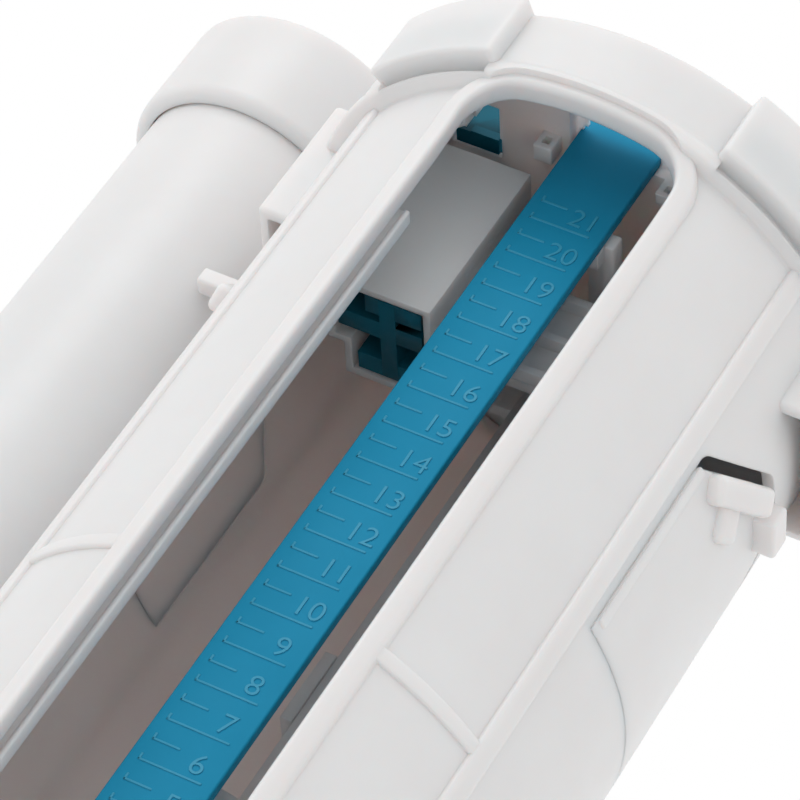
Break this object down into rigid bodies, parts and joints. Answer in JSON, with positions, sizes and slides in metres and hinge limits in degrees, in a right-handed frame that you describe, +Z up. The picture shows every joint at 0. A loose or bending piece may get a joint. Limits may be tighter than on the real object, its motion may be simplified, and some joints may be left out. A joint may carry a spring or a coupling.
{
  "type": "toilet flush valve",
  "caption": "Tall white dual-flush outlet valve with a framed front window over a teal graduated lift rod, a side overflow pipe and a threaded tank shank.",
  "frame": {"origin": "on the tower's axis at the cistern-floor plane, which is the flange gasket's underside", "axes": "+Z up along the tower's axis, -Y out of the long front window, overflow pipe towards -X"},
  "size_m": [0.183, 0.124, 0.3678],
  "materials": {
    "white_plastic": "semi-gloss moulded polypropylene, slightly cool white",
    "teal_plastic": "satin moulded acetal, teal blue",
    "rubber": "matt black nitrile rubber",
    "silicone": "translucent grey silicone"
  },
  "bodies": {
    "frame": {"valve_base": "white_plastic", "flange_gasket": "rubber", "nut_washer": "white_plastic", "tower_shell": "white_plastic", "overflow_pipe": "white_plastic", "overflow_collar": "white_plastic", "overflow_seal": "rubber", "head_frame": "white_plastic", "head_cover": "white_plastic", "full_rocker_pin": "white_plastic", "half_rocker_pin": "white_plastic"},
    "nut": {"lock_nut": "white_plastic"},
    "left_latch": {"latch_left": "white_plastic"},
    "right_latch": {"latch_right": "white_plastic"},
    "full_button": {"full_plunger": "teal_plastic"},
    "half_button": {"half_plunger": "teal_plastic"},
    "full_lever": {"full_rocker": "teal_plastic"},
    "half_lever": {"half_rocker": "teal_plastic"},
    "lift": {"ruler_rod": "teal_plastic", "lift_crosshead": "white_plastic", "rod_foot": "white_plastic", "spindle": "white_plastic", "seal_disc": "silicone", "seal_retainer": "white_plastic", "full_float": "white_plastic"},
    "half_lift": {"half_rod": "white_plastic"},
    "float": {"half_float": "white_plastic"}
  },
  "joints": [
    {"name": "nut_turn", "type": "hinge", "parent": "frame", "child": "nut", "pos_m": [0, 0, -0.019], "axis": [0, 0, 1], "continuous": true},
    {"name": "left_latch_flex", "type": "hinge", "parent": "frame", "child": "left_latch", "pos_m": [-0.0577, 0, 0.1853], "axis": [0, -1, 0], "range_deg": [0, 8], "stiffness_Nm_per_rad": 0.6},
    {"name": "right_latch_flex", "type": "hinge", "parent": "frame", "child": "right_latch", "pos_m": [0.0577, 0, 0.1853], "axis": [0, 1, 0], "range_deg": [0, 8], "stiffness_Nm_per_rad": 0.6},
    {"name": "full_press", "type": "slide", "parent": "frame", "child": "full_button", "axis": [0, 0, -1], "range_m": [0, 0.008], "stiffness_N_per_m": 120, "springref_m": -0.004},
    {"name": "full_lever_turn", "type": "hinge", "parent": "frame", "child": "full_lever", "pos_m": [-0.016, 0.0065, 0.276], "axis": [0, -1, 0], "range_deg": [0, 38.3]},
    {"name": "full_lift", "type": "slide", "parent": "frame", "child": "lift", "axis": [0, 0, 1], "range_m": [0, 0.0168]},
    {"name": "half_press", "type": "slide", "parent": "frame", "child": "half_button", "axis": [0, 0, -1], "range_m": [0, 0.008], "stiffness_N_per_m": 120, "springref_m": -0.004},
    {"name": "half_lever_turn", "type": "hinge", "parent": "frame", "child": "half_lever", "pos_m": [0.018, 0.0185, 0.276], "axis": [0, 1, 0], "range_deg": [0, 38.3]},
    {"name": "half_lift", "type": "slide", "parent": "frame", "child": "half_lift", "axis": [0, 0, 1], "range_m": [0, 0.0126]},
    {"name": "float_adjust", "type": "slide", "parent": "half_lift", "child": "float", "axis": [0, 0, 1], "range_m": [-0.005, 0.05]}
  ],
  "couplings": [
    {"joint": "full_lever_turn", "follows": "full_press", "rad_per_m": 83.34},
    {"joint": "full_lift", "follows": "full_press", "ratio": 2.0902},
    {"joint": "half_lever_turn", "follows": "half_press", "rad_per_m": 83.34},
    {"joint": "half_lift", "follows": "half_press", "ratio": 1.5708}
  ]
}
